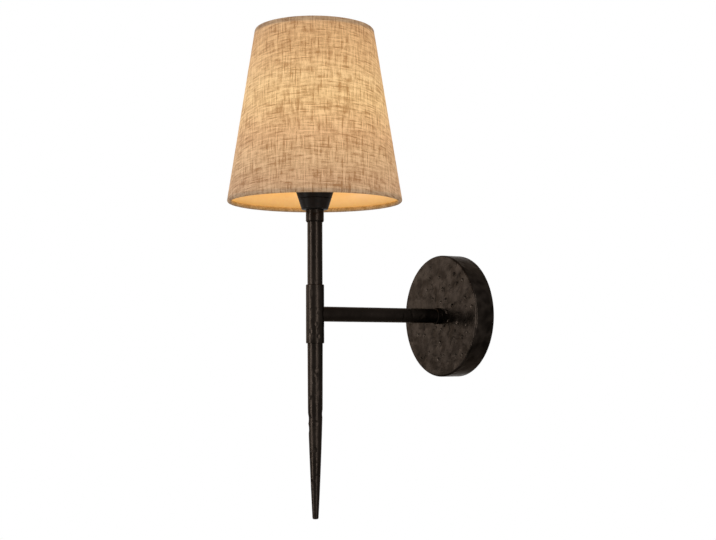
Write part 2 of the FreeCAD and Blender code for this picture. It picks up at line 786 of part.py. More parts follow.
def make_shade_ring():
    """Ring nut: a flange that clamps the fitter ring, and a grooved grip above it."""
    low = ring_nut_bottom
    high = low + ring_nut_height
    nut = turned_points((ring_nut_bore, low), (ring_nut_flange, low), (ring_nut_flange, low + 1.8),
                        (ring_nut_flange - 0.7, low + 2.5), (ring_nut_grip, low + 2.5),
                        (ring_nut_grip, high - 0.6), (ring_nut_grip - 0.6, high), (ring_nut_bore, high))
    grooves = [Part.makeCylinder(1.3, ring_nut_height, polar(ring_nut_grip + 0.5, i * 360 / ring_nut_grooves,
                                                             low + 2.5))
               for i in range(ring_nut_grooves)]
    return on_stem(nut.cut(grooves))


def write(name, shape):
    for solid in shape.Solids:
        if not solid.isValid():
            raise ValueError(name + " isn't a valid solid")
    shape.exportStep("parts/" + name + ".step")
    print("%-20s %2d solid(s) %10.1f mm3" % (name, len(shape.Solids), shape.Volume))


os.makedirs("parts", exist_ok=True)

write("backplate", make_backplate())
write("plate_screws", make_plate_screws())
write("wall_bracket", make_wall_bracket())
write("ground_screw", make_ground_screw())
write("earth_eyelet", make_earth_eyelet())
write("earth_lead", make_earth_lead())
write("terminal_block", make_terminal_block())
write("terminal_tubes", make_terminal_tubes())
write("terminal_screws", make_terminal_screws())
write("block_screw", make_block_screw())
write("live_lead", make_lamp_lead(-pole_pitch, -1))
write("neutral_lead", make_lamp_lead(0, 1))
write("arm_rod", make_arm_rod())
write("arm_nut", make_arm_nut())
write("arm_washer", make_arm_washer())
write("arm_ring", make_arm_ring())
write("arm_tube", make_arm_tube())
write("arm_plug", make_arm_plug())
write("collar", make_collar())
write("stem_tube", make_stem_tube())
write("stem_plug", make_stem_plug())
write("stem_ring", make_stem_ring())
write("spike", make_spike())
write("socket_rod", make_socket_rod())
write("socket_cap", make_socket_cap())
write("socket_body", make_socket_body())
write("socket_core", make_socket_core())
write("screw_shell", make_screw_shell())
write("centre_contact", make_centre_contact())
write("contact_screws", make_contact_screws())
write("bulb_globe", make_bulb_globe())
write("bulb_cap", make_bulb_cap())
write("bulb_insulator", make_bulb_insulator())
write("bulb_contact", make_bulb_contact())
write("shade_fabric", make_shade_fabric())
write("shade_liner", make_shade_liner())
write("shade_top_wire", wire_ring(from_top))
write("shade_bottom_wire", wire_ring(from_bottom))
write("shade_spokes", make_shade_spokes())
write("shade_fitter", make_shade_fitter())
write("shade_ring", make_shade_ring())
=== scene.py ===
import json
import math

import bmesh
import bpy
import numpy as np
from mathutils import Euler, Matrix, Vector, noise


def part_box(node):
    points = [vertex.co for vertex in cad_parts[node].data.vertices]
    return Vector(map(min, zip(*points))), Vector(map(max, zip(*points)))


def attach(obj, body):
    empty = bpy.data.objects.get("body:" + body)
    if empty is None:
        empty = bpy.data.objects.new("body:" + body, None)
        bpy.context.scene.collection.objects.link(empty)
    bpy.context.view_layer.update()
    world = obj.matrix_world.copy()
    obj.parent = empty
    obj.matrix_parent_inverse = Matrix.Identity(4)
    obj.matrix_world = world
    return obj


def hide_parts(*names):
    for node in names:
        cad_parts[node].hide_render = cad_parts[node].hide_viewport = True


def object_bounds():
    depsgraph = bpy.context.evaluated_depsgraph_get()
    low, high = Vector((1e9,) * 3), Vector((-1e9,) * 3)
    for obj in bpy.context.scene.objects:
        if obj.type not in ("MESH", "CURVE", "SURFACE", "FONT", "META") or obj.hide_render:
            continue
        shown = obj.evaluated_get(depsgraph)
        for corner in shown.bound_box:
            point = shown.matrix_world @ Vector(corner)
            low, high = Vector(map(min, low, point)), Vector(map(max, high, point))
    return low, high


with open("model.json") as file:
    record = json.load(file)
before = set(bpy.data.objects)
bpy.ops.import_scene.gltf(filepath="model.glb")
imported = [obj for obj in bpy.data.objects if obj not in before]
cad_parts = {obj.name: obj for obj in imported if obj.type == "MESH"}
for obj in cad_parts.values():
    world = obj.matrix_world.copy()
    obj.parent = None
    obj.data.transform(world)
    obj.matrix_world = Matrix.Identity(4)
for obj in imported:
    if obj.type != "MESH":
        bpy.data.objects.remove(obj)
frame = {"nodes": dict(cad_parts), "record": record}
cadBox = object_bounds()
nodes = frame["nodes"]

# The stem's upright axis, taken from the stem tube itself
stemLow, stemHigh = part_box("stem_tube")
stemAxis = Vector(((stemLow.x + stemHigh.x) / 2, (stemLow.y + stemHigh.y) / 2, 0))


# Camera and light

cameraSet = {
    "place": (1.1095, -0.82577, -0.04412),
    "tilt": 3.886,  # degrees above level
    "heading": 57.654,  # degrees about +Z
    "roll": -0.255,
    "focalPixels": 1303.6,  # fitted on the outlines of plate, arm, stem and shade
    "pictureWidth": 716,  # pixels
    "sensor": 36.0,
}

lightSet = {
    "softboxes": [
        # name, bearing round the stem in degrees, distance, height, width, tall, watts, for matt surfaces
        ("leftBox", -8, 1.7, 0.25, 0.30, 1.7, 55, False),
        ("plateBox", -60, 2.2, 0.65, 1.0, 1.6, 26, False),
        ("rightBox", 86, 1.7, 0.2, 0.16, 1.6, 34, False),
        ("frontBox", 58, 2.6, 0.5, 1.6, 1.6, 10, True),
    ],
    "worldDiffuse": 0.8,  # how bright the room is for matt surfaces
    "floorDrop": 0.3,
    "floorCorners": 96,
    "floorRadius": 1.0,
    "floorColour": (0.86, 0.85, 0.83, 1),
    "floorFade": (0.55, 0.95),  # distances from the stem between which the floor turns to the room's white
}


def addCamera():
    data = bpy.data.cameras.new("photoCamera")
    data.sensor_fit = "HORIZONTAL"
    data.sensor_width = cameraSet["sensor"]
    data.lens = cameraSet["focalPixels"] * cameraSet["sensor"] / cameraSet["pictureWidth"]
    camera = bpy.data.objects.new("photoCamera", data)
    bpy.context.scene.collection.objects.link(camera)
    camera.location = cameraSet["place"]
    aim = Euler((math.radians(90 + cameraSet["tilt"]), 0, math.radians(cameraSet["heading"]))).to_matrix()
    camera.rotation_euler = (aim @ Matrix.Rotation(math.radians(cameraSet["roll"]), 3, "Z")).to_euler()
    bpy.context.scene.camera = camera


def addWorld():
    world = bpy.data.worlds.new("studio")
    bpy.context.scene.world = world
    world.use_nodes = True
    tree = world.node_tree
    tree.nodes.clear()
    wire = Wire(tree)
    ray = wire.make("ShaderNodeLightPath", out="Is Camera Ray")
    direct = wire.maths("MAXIMUM", ray, ray.other("Is Glossy Ray"))
    direct = wire.maths("MAXIMUM", direct, ray.other("Is Transmission Ray"))
    strength = lightSet["worldDiffuse"] + direct * (1 - lightSet["worldDiffuse"])
    sky = wire.make("ShaderNodeBackground", None, {"Color": (1, 1, 1, 1), "Strength": strength})
    wire.make("ShaderNodeOutputWorld", None, {"Surface": sky})


def addSoftboxes():
    for name, bearing, distance, height, width, tall, watts, matt in lightSet["softboxes"]:
        data = bpy.data.lights.new(name, "AREA")
        data.shape = "RECTANGLE"
        data.size = width
        data.size_y = tall
        data.energy = watts
        lamp = bpy.data.objects.new(name, data)
        bpy.context.scene.collection.objects.link(lamp)
        turn = math.radians(bearing)
        lamp.location = stemAxis + Vector((math.sin(turn) * distance, -math.cos(turn) * distance, height))
        lamp.rotation_euler = (lamp.location - stemAxis).to_track_quat("Z", "Y").to_euler()
        lamp.visible_camera = False
        lamp.visible_diffuse = matt
        lamp.visible_glossy = not matt


def addFloor():
    cleanSelection()
    depth = cadBox[0].z - lightSet["floorDrop"]
    middle = (stemAxis.x, stemAxis.y, depth)
    bpy.ops.mesh.primitive_circle_add(vertices=lightSet["floorCorners"], radius=lightSet["floorRadius"],
                                      fill_type="NGON", location=middle)
    floor = bpy.context.object
    floor.name = "studioFloor"
    settle(floor)
    material, wire = newMaterial("floorPaint")
    place = wire.make("ShaderNodeTexCoord", out="Object")
    away = wire.make("ShaderNodeVectorMath", {"operation": "DISTANCE"}, {0: place, 1: middle}, out="Value")
    fade = between(wire, away, *lightSet["floorFade"])
    seen = wire.make("ShaderNodeLightPath", out="Is Camera Ray")
    matt = wire.make("ShaderNodeBsdfDiffuse", None, {"Color": lightSet["floorColour"]})
    white = wire.make("ShaderNodeEmission", None, {"Color": (1, 1, 1, 1), "Strength": 1.0})
    mixed = wire.make("ShaderNodeMixShader", None, {0: fade * seen, 1: matt, 2: white})
    below = wire.make("ShaderNodeNewGeometry", out="Backfacing")  # the floor hides nothing seen from below
    clear = wire.make("ShaderNodeBsdfTransparent")
    mixed = wire.make("ShaderNodeMixShader", None, {0: below, 1: mixed, 2: clear})
    wire.make("ShaderNodeOutputMaterial", None, {"Surface": mixed})
    floor.data.materials.append(material)


# Helpers for modelling

outlineSet = {
    "corner": 0.001,  # size of the plane that an outline starts from
    "merge": 0.00001,  # corners closer than this become one
}


def cleanSelection():
    if bpy.context.object and bpy.context.object.mode != "OBJECT":
        bpy.ops.object.mode_set(mode="OBJECT")
    bpy.ops.object.select_all(action="DESELECT")


def takeUp(piece):
    # the piece alone is selected and active
    cleanSelection()
    piece.select_set(True)
    bpy.context.view_layer.objects.active = piece


def settle(piece):
    # puts the piece's place into its mesh
    takeUp(piece)
    bpy.ops.object.transform_apply(location=True, rotation=True, scale=True)


def applyModifiers(piece):
    takeUp(piece)
    for modifier in list(piece.modifiers):
        bpy.ops.object.modifier_apply(modifier=modifier.name)


def startOutline(name, point):
    # a plane cut down to one corner, which then sits at the point
    cleanSelection()
    bpy.ops.mesh.primitive_plane_add(size=outlineSet["corner"], location=point)
    piece = bpy.context.object
    piece.name = name
    settle(piece)
    bpy.ops.object.mode_set(mode="EDIT")
    bpy.ops.mesh.merge(type="CENTER")
    return piece


def drawOutline(piece, points):
    # extrudes the selected corner from point to point
    here = Vector(points[0])
    for point in points[1:]:
        bpy.ops.mesh.extrude_region_move(TRANSFORM_OT_translate={"value": Vector(point) - here})
        here = Vector(point)


def spinOutline(piece, steps):
    # sweeps the outline once round the stem's axis and closes the seam
    bpy.ops.mesh.select_all(action="SELECT")
    bpy.ops.mesh.spin(steps=steps, angle=2 * math.pi, center=(stemAxis.x, stemAxis.y, 0), axis=(0, 0, 1))
    bpy.ops.mesh.select_all(action="SELECT")
    bpy.ops.mesh.remove_doubles(threshold=outlineSet["merge"])
    bpy.ops.object.mode_set(mode="OBJECT")


def turnOutwards(piece):
    takeUp(piece)
    bpy.ops.object.mode_set(mode="EDIT")
    bpy.ops.mesh.select_all(action="SELECT")
    bpy.ops.mesh.normals_make_consistent(inside=False)
    bpy.ops.object.mode_set(mode="OBJECT")


def thicken(piece, thickness, offset=0):
    # gives an open wall its thickness, half to each side or, with offset -1, all of it behind its faces
    turnOutwards(piece)
    sheet = piece.modifiers.new("sheet", "SOLIDIFY")
    sheet.thickness = thickness
    sheet.offset = offset
    applyModifiers(piece)
    bpy.ops.object.shade_smooth()


# Materials

noiseSpan = (0.3, 0.7)  # most of a noise's values lie between these


class Wire:
    # One end of a shader link. Arithmetic on it adds the Math nodes.
    def __init__(self, tree, socket=None):
        self.tree = tree
        self.socket = socket

    def make(self, kind, settings=None, sockets=None, out=0):
        node = self.tree.nodes.new(kind)
        for name, value in (settings or {}).items():
            if name == "stops":
                setStops(node.color_ramp, value)
            else:
                setattr(node, name, value)
        for name, value in (sockets or {}).items():
            if isinstance(value, Wire):
                self.tree.links.new(value.socket, node.inputs[name])
            else:
                node.inputs[name].default_value = value
        return Wire(self.tree, node.outputs[out] if len(node.outputs) else None)

    def other(self, name):
        # another output of the node that this link starts from
        return Wire(self.tree, self.socket.node.outputs[name])

    def maths(self, operation, *values):
        return self.make("ShaderNodeMath", {"operation": operation}, dict(enumerate(values)))

    def __add__(self, other):
        return self.maths("ADD", self, other)

    def __radd__(self, other):
        return self.maths("ADD", other, self)

    def __sub__(self, other):
        return self.maths("SUBTRACT", self, other)

    def __rsub__(self, other):
        return self.maths("SUBTRACT", other, self)

    def __mul__(self, other):
        return self.maths("MULTIPLY", self, other)

    def __rmul__(self, other):
        return self.maths("MULTIPLY", other, self)

    def __truediv__(self, other):
        return self.maths("DIVIDE", self, other)

    def __rtruediv__(self, other):
        return self.maths("DIVIDE", other, self)


def setStops(ramp, stops):
    while len(ramp.elements) < len(stops):
        ramp.elements.new(0.5)
    for element, (place, colour) in zip(ramp.elements, stops):
        element.position = place
        element.color = (*colour, 1) if len(colour) == 3 else colour


def newMaterial(name):
    material = bpy.data.materials.new(name)
    material.use_nodes = True
    material.node_tree.nodes.clear()
    return material, Wire(material.node_tree)


def finishWith(wire, sockets):
    surface = wire.make("ShaderNodeBsdfPrincipled", None, sockets)
    wire.make("ShaderNodeOutputMaterial", None, {"Surface": surface})


def objectNoise(wire, scale, detail=2.0, roughness=0.5):
    place = wire.make("ShaderNodeTexCoord", out="Object")
    return wire.make("ShaderNodeTexNoise", None,
                     {"Vector": place, "Scale": scale, "Detail": detail, "Roughness": roughness})


def mixColour(wire, factor, first, second):
    return wire.make("ShaderNodeMix", {"data_type": "RGBA"}, {0: factor, 6: first, 7: second}, out=2)


def bumpFrom(wire, height):
    return wire.make("ShaderNodeBump", None, {"Strength": 1.0, "Distance": 1.0, "Height": height})


def between(wire, value, low, high, toLow=0.0, toHigh=1.0):
    return wire.make("ShaderNodeMapRange", {"interpolation_type": "SMOOTHSTEP"},
                     {"Value": value, "From Min": low, "From Max": high, "To Min": toLow, "To Max": toHigh})


def rampOver(wire, value, stops):
    reach = stops[-1][0]
    return wire.make("ShaderNodeValToRGB", {"stops": [(place / reach, colour) for place, colour in stops]},
                     {"Fac": value / reach})


def scaled(wire, colour, factor):
    return wire.make("ShaderNodeVectorMath", {"operation": "SCALE"}, {0: colour, "Scale": factor})


def stretchedNoise(wire, across, up, acrossScale, upScale):
    place = wire.make("ShaderNodeCombineXYZ", None, {"X": across * acrossScale, "Y": up * upScale})
    return wire.make("ShaderNodeTexNoise", {"noise_dimensions": "2D"},
                     {"Vector": place, "Scale": 1.0, "Detail": 1.0})


def objectPlace(wire, axis):
    # one of the Object coordinates
    place = wire.make("ShaderNodeTexCoord", out="Object")
    return wire.make("ShaderNodeSeparateXYZ", None, {0: place}, out=axis)


bronzeSet = {
    "colour": (0.0044, 0.0033, 0.0026, 1),
    "worn": (0.0196, 0.0150, 0.0120, 1),
    "edgeTint": (0.60, 0.567, 0.543, 1),
    "roughness": (0.3, 0.42),
    "plateFrom": (-0.05, -0.025),  # y in metres between which the tubes' finish turns into the plate's
    # each share is what the tubes get, and how much more the plate gets
    "wear": 0.27,
    "patchScale": 38,
    "patchRange": (0.35, 0.75),  # noise values between which a patch wears
    "patchShare": (0.2, 0.15),
    "mottleScale": 115,
    "mottleRange": (0.3, 0.72),
    "mottleShare": (0.08, 0.47),
    "hammerScale": 80,  # soft unevenness left by the hammer
    "hammerShare": (0.55, 0.45),
    "hammerHeight": 0.0005,
    "pitScale": 135,
    "pitRange": (0.28, 0.5),
    "pitHeight": 0.0002,
    "grainScale": 900,
    "grainHeight": 0.00002,
}


def bronzeFinish():
    material, wire = newMaterial("oilRubbedBronze")
    plate = between(wire, objectPlace(wire, "Y"), *bronzeSet["plateFrom"])

    def share(name):
        # an amount that is larger on the plate than on the tubes
        base, more = bronzeSet[name]
        return base + plate * more

    patches = objectNoise(wire, bronzeSet["patchScale"], detail=4, roughness=0.6)
    mottle = objectNoise(wire, bronzeSet["mottleScale"], detail=1)
    blotch = (between(wire, mottle, *bronzeSet["mottleRange"]) - 0.5) * share("mottleShare")
    wornPatches = between(wire, patches, *bronzeSet["patchRange"]) * share("patchShare")
    spread = wornPatches + blotch + bronzeSet["wear"]
    grain = objectNoise(wire, bronzeSet["grainScale"])
    hammer = objectNoise(wire, bronzeSet["hammerScale"], detail=1, roughness=0.4)
    pitNoise = objectNoise(wire, bronzeSet["pitScale"], detail=1, roughness=0.4)
    pits = between(wire, pitNoise, *bronzeSet["pitRange"])
    relief = hammer * share("hammerShare") * bronzeSet["hammerHeight"] + pits * bronzeSet["pitHeight"]
    finishWith(wire, {
        "Base Color": mixColour(wire, spread, bronzeSet["colour"], bronzeSet["worn"]),
        "Metallic": 1.0,
        "Roughness": between(wire, patches, *noiseSpan, *bronzeSet["roughness"]),
        "Specular Tint": bronzeSet["edgeTint"],
        "Normal": bumpFrom(wire, relief + grain * bronzeSet["grainHeight"]),
    })
    return material


plainSet = {
    # colour, second colour, metallic, roughness low and high, mottle scale, bump height in metres
    "zinc_steel": ((0.55, 0.55, 0.52, 1), (0.38, 0.37, 0.33, 1), 1.0, (0.28, 0.46), 160, 0.00002),
    "green_screw": ((0.03, 0.20, 0.06, 1), (0.06, 0.28, 0.10, 1), 0.7, (0.3, 0.4), 300, 0.00001),
    "earth_insulation": ((0.05, 0.24, 0.06, 1), (0.04, 0.19, 0.05, 1), 0.0, (0.45, 0.55), 500, 0.00002),
    "live_insulation": ((0.012, 0.012, 0.012, 1), (0.02, 0.02, 0.02, 1), 0.0, (0.45, 0.55), 500, 0.00002),
    "neutral_insulation": ((0.72, 0.71, 0.67, 1), (0.64, 0.62, 0.57, 1), 0.0, (0.45, 0.55), 500, 0.00002),
    "terminal_plastic": ((0.76, 0.75, 0.70, 1), (0.70, 0.68, 0.61, 1), 0.0, (0.35, 0.5), 220, 0.00002),
    "brass": ((0.66, 0.46, 0.17, 1), (0.50, 0.32, 0.11, 1), 1.0, (0.22, 0.38), 260, 0.00001),
    "black_phenolic": ((0.006, 0.005, 0.004, 1), (0.010, 0.008, 0.007, 1), 0.0, (0.38, 0.5), 340, 0.00002),
    "core_ceramic": ((0.72, 0.70, 0.63, 1), (0.66, 0.63, 0.55, 1), 0.0, (0.15, 0.3), 180, 0.00003),
    "frame_wire": ((0.68, 0.66, 0.60, 1), (0.60, 0.57, 0.50, 1), 0.0, (0.3, 0.42), 240, 0.00002),
    "lamp_cap": ((0.62, 0.60, 0.55, 1), (0.50, 0.48, 0.43, 1), 1.0, (0.2, 0.36), 300, 0.00001),
    "lamp_insulator": ((0.012, 0.010, 0.013, 1), (0.02, 0.017, 0.02, 1), 0.0, (0.12, 0.2), 200, 0.00001),
    "solder": ((0.55, 0.54, 0.52, 1), (0.42, 0.41, 0.39, 1), 1.0, (0.3, 0.5), 400, 0.00004),
}

dimGloss = {"black_phenolic": 0.04, "live_insulation": 0.3}  # slots that shine less than most
plainRange = (0.35, 0.7)
grainPerMottle = 5


def plainFinish(slot):
    first, second, metallic, (smooth, dull), scale, height = plainSet[slot]
    material, wire = newMaterial(slot + "Finish")
    mottle = objectNoise(wire, scale, detail=3, roughness=0.55)
    grain = objectNoise(wire, scale * grainPerMottle)
    finishWith(wire, {
        "Base Color": mixColour(wire, between(wire, mottle, *plainRange), first, second),
        "Metallic": metallic,
        "Roughness": between(wire, mottle, *noiseSpan, smooth, dull),
        "Specular IOR Level": dimGloss.get(slot, 0.5),
        "Normal": bumpFrom(wire, grain * height),
    })
    return material


bulbSet = {
    "glow": (1.0, 0.80, 0.50, 1),
    "neckGlow": (1.0, 0.66, 0.33, 1),
    "neckFade": (0.150, 0.195),  # heights between which the neck's glow turns into the globe's
    "strength": 0.72,
    "glass": (0.5, 0.46, 0.38, 1),
    "roughness": (0.45, 0.6),
    "frostScale": 2400,
    "frostHeight": 0.00002,
}


def bulbFinish():
    material, wire = newMaterial("frostedGlass")
    frost = objectNoise(wire, bulbSet["frostScale"])
    body = between(wire, objectPlace(wire, "Z"), *bulbSet["neckFade"])
    finishWith(wire, {
        "Base Color": bulbSet["glass"],
        "Roughness": between(wire, frost, *noiseSpan, *bulbSet["roughness"]),
        "Emission Color": mixColour(wire, body, bulbSet["neckGlow"], bulbSet["glow"]),
        "Emission Strength": bulbSet["strength"],
        "Normal": bumpFrom(wire, frost * bulbSet["frostHeight"]),
    })
    return material


linerSet = {
    "colour": (0.52, 0.40, 0.25, 1),
    "roughness": 0.5,
    # light on the film's inner face, by height above the shade's bottom in metres
    "glow": [(0.0, (0.46, 0.22, 0.035)), (0.02, (0.58, 0.28, 0.05)), (0.09, (0.66, 0.33, 0.09)),
             (0.174, (0.48, 0.22, 0.05))],
    "cloudScale": 55,
    "threadScale": 420,
    "shade": (0.86, 1.1),  # how much the cloth behind darkens and brightens it
    "height": 0.00002,
}


def linerFinish():
    material, wire = newMaterial("linerFilm")
    glow = rampOver(wire, objectPlace(wire, "Z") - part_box("shade_fabric")[0].z, linerSet["glow"])
    clouds = objectNoise(wire, linerSet["cloudScale"], detail=3, roughness=0.6)
    threads = objectNoise(wire, linerSet["threadScale"])
    shade = between(wire, (clouds + threads) * 0.5, *noiseSpan, *linerSet["shade"])
    finishWith(wire, {
        "Base Color": linerSet["colour"],
        "Roughness": linerSet["roughness"],
        "Emission Color": scaled(wire, glow, shade),
        "Emission Strength": 1.0,
        "Normal": bumpFrom(wire, threads * linerSet["height"]),
    })
    return material


# Linen shade

linenSet = {
    "grainFaces": 60,  # bearing that the middle of the cut faces; the lapped seam is opposite
    "columns": 288,
    "wallRows": 100,
    "wrapSteps": 10,  # points round each wire
    "flapPoints": 5,  # points of the path that count as the turned-in flap
    "hemDepth": 0.0042,
    "sheet": 0.0006,
    "flapDepth": 0.00135,  # middle of the turned-in flap, in from the outer face
    "lap": 0.009,
    "lapHeight": 0.0004,
    "unevenness": 0.00010,  # slack between the threads
    "unevenScale": 160,
    # weave
    "pitch": 0.00118,  # from thread to thread
    "wander": 1.4,  # how far a thread strays, in threads
    "wanderScale": (110, 40),
    "toneScale": 60,  # changes of tone along one metre of thread
    "toneSeeds": (3.17, 3.71),
    "bandScale": (210, 45),
    "cloudScale": (45, 45),
    "speckScale": (900, 900),
    "fleckScale": (760, 260),
    "slubFrom": (0.66, 0.78),  # tones between which a thread thickens
    "threadHeight": 0.00018,
    "slubHeight": 0.0001,
    "thickAndShade": 0.42,  # how thick the cloth is on the whole
    # and how much each of these adds to that; the flap's share is painted shade, which darkens the turned-in
    # flap inside the shade
    "shares": {"tone": 1.35, "band": 0.27, "cloud": 0.27, "speck": 0.63, "fleck": 0.315,
               "slub": 0.2, "top": 0.12, "gap": -0.6, "flap": 0.1},
    # finish
    "colour": (0.51, 0.342, 0.205, 1),
    "dark": (0.265, 0.136, 0.058, 1),
    "roughness": 0.85,
    "gloss": 0.2,
    # light that comes through the cloth, by height above the bottom edge in metres
    "glow": [(0.0, (0.012, 0.006, 0.002)), (0.0028, (0.02, 0.01, 0.004)), (0.0048, (0.15, 0.080, 0.037)),
             (0.013, (0.182, 0.090, 0.038)), (0.028, (0.225, 0.125, 0.052)), (0.042, (0.25, 0.136, 0.052)),
             (0.057, (0.285, 0.146, 0.052)), (0.071, (0.335, 0.188, 0.068)), (0.093, (0.375, 0.230, 0.080)),
             (0.115, (0.375, 0.232, 0.086)), (0.130, (0.324, 0.182, 0.060)), (0.157, (0.262, 0.131, 0.034)),
             (0.1675, (0.225, 0.110, 0.030)), (0.1695, (0.03, 0.015, 0.004)),
             (0.1735, (0.012, 0.006, 0.002))],
    "flapGlow": (0.09, 0.062, 0.011),  # light of the lamp on the turned-in flap
    "through": ((1.38, 1.46, 1.50, 1), (0.64, 0.52, 0.34, 1)),  # thin places and thick ones
}


def shadeFrame():
    # the two wire circles, which the cloth is worked out from
    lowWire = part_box("shade_bottom_wire")
    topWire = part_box("shade_top_wire")
    wireRadius = (lowWire[1].z - lowWire[0].z) / 2
    low = (lowWire[1].x - stemAxis.x - wireRadius, (lowWire[0].z + lowWire[1].z) / 2)
    top = (topWire[1].x - stemAxis.x - wireRadius, (topWire[0].z + topWire[1].z) / 2)
    return {
        "wire": wireRadius,
        "edge": wireRadius + linenSet["sheet"],  # from the wire's middle to the cloth's outer face
        "low": low,
        "slant": math.hypot(low[0] - top[0], top[1] - low[1]),
        "slope": math.atan2(low[0] - top[0], top[1] - low[1]),
        "seam": math.radians(linenSet["grainFaces"] + 180),
    }


def onSlope(shade, along, outwards):
    # the point this far up the slope from the lower wire and this far out, on the seam's side
    slope = shade["slope"]
    radius = shade["low"][0] - along * math.sin(slope) + outwards * math.cos(slope)
    height = shade["low"][1] + along * math.cos(slope) + outwards * math.sin(slope)
    return stemAxis + Vector((math.sin(shade["seam"]) * radius, -math.cos(shade["seam"]) * radius, height))


def cutSize(shade, start, end, outwards):
    # width, length and area of the flat piece that covers the slope from start to end
    apex = (shade["low"][0] + outwards * math.cos(shade["slope"])) / math.sin(shade["slope"])
    far, near = apex - start, apex - end
    half = math.pi * math.sin(shade["slope"])
    return 2 * far * math.sin(half), far - near * math.cos(half), half * (far ** 2 - near ** 2)


def linenPath(shade):
    # (up the slope, outwards) points of the cloth's middle, from flap to flap round both wires
    wrap = shade["wire"] + linenSet["sheet"] / 2
    flap = (linenSet["hemDepth"] - shade["edge"], shade["edge"] - linenSet["flapDepth"])
    leave = 2 * math.pi + math.atan2(flap[1], flap[0]) - math.acos(wrap / math.hypot(*flap))
    steps = linenSet["wrapSteps"]
    turns = [leave + (math.pi / 2 - leave) * i / steps for i in range(steps + 1)]
    hem = [flap] + [(wrap * math.cos(turn), wrap * math.sin(turn)) for turn in turns]
    rows = linenSet["wallRows"]
    wall = [(shade["slant"] * i / rows, wrap) for i in range(1, rows)]
    return hem + wall + [(shade["slant"] - along, outwards) for along, outwards in reversed(hem)]


def makeLinen(shade):
    path = linenPath(shade)
    points = [onSlope(shade, *point) for point in path]
    linen = startOutline("linenShade", points[0])
    drawOutline(linen, points)
    spinOutline(linen, linenSet["columns"])
    hem = layOutCut(linen, path, points, shade)
    shapeLinen(linen, shade["seam"])
    thicken(linen, linenSet["sheet"])
    return linen, cutSize(shade, -hem, shade["slant"] + hem, shade["wire"] + linenSet["sheet"] / 2)


filmSet = {
    "depth": 0.0008,  # middle of the film, in from the cloth's outer face
    "sheet": 0.0004,
    "short": 0.0038,  # how far it stops from the cloth's two edges
    "rows": 12,
}


def makeFilm(shade):
    # the smooth film that the cloth is stuck to, between the cloth and its turned-in hems
    rows = filmSet["rows"]
    start = filmSet["short"] - shade["edge"]
    reach = shade["slant"] - 2 * start
    outwards = shade["edge"] - filmSet["depth"]
    points = [onSlope(shade, start + reach * i / rows, outwards) for i in range(rows + 1)]
    film = startOutline("linerFilm", points[0])
    drawOutline(film, points)
    spinOutline(film, linenSet["columns"])
    thicken(film, filmSet["sheet"])
    return film, cutSize(shade, start, start + reach, outwards)


def layOutCut(linen, path, points, shade):
    # flat pattern of the cone in metres, as it was cut before wrapping, with the grain along its middle
    runs = np.concatenate([[0], np.cumsum([math.dist(a, b) for a, b in zip(path, path[1:])])])
    wallStart = runs[linenSet["wrapSteps"] + 1]
    apexDistance = shade["low"][0] / math.sin(shade["slope"])
    outline = np.array([(math.hypot(p.x - stemAxis.x, p.y - stemAxis.y), p.z) for p in points])
    mesh = linen.data
    spots = np.array([v.co for v in mesh.vertices]) - np.array(stemAxis)
    flat = np.stack([np.hypot(spots[:, 0], spots[:, 1]), spots[:, 2]], axis=1)
    nearest = np.argmin(((flat[:, None, :] - outline[None, :, :]) ** 2).sum(2), axis=1)
    along = apexDistance - (runs[nearest] - wallStart)
    bearing = np.mod(np.arctan2(spots[:, 0], -spots[:, 1]) - shade["seam"], 2 * math.pi)
    # the flap mask, which the linen's finish uses for painted shade on the turned-in flap and for the lamp's
    # light on it
    flap = mesh.attributes.new("flap", "FLOAT", "POINT")
    ends = linenSet["flapPoints"]
    inner = (nearest < ends) | (nearest >= len(points) - ends)
    flap.data.foreach_set("value", inner.astype(float))
    layer = mesh.uv_layers.new(name="cut")
    for face in mesh.polygons:
        turns = bearing[list(face.vertices)]
        turns = np.where((turns.max() - turns > math.pi), turns + 2 * math.pi, turns) - math.pi
        for loop, vertex, turn in zip(face.loop_indices, face.vertices, turns):
            lean = turn * math.sin(shade["slope"])
            layer.data[loop].uv = (along[vertex] * math.sin(lean), -along[vertex] * math.cos(lean))
    return wallStart


def shapeLinen(linen, seam):
    # slack between the threads, and the seam where one edge of the cloth laps over the other
    for vertex in linen.data.vertices:
        away = vertex.co - stemAxis
        outwards = Vector((away.x, away.y, 0))
        radius = outwards.length
        outwards.normalize()
        bearing = (math.atan2(away.x, -away.y) - seam + math.pi) % (2 * math.pi) - math.pi
        lift = linenSet["unevenness"] * noise.noise(vertex.co * linenSet["unevenScale"])
        if 0 <= bearing * radius <= linenSet["lap"]:
            lift += linenSet["lapHeight"]
        vertex.co += outwards * lift


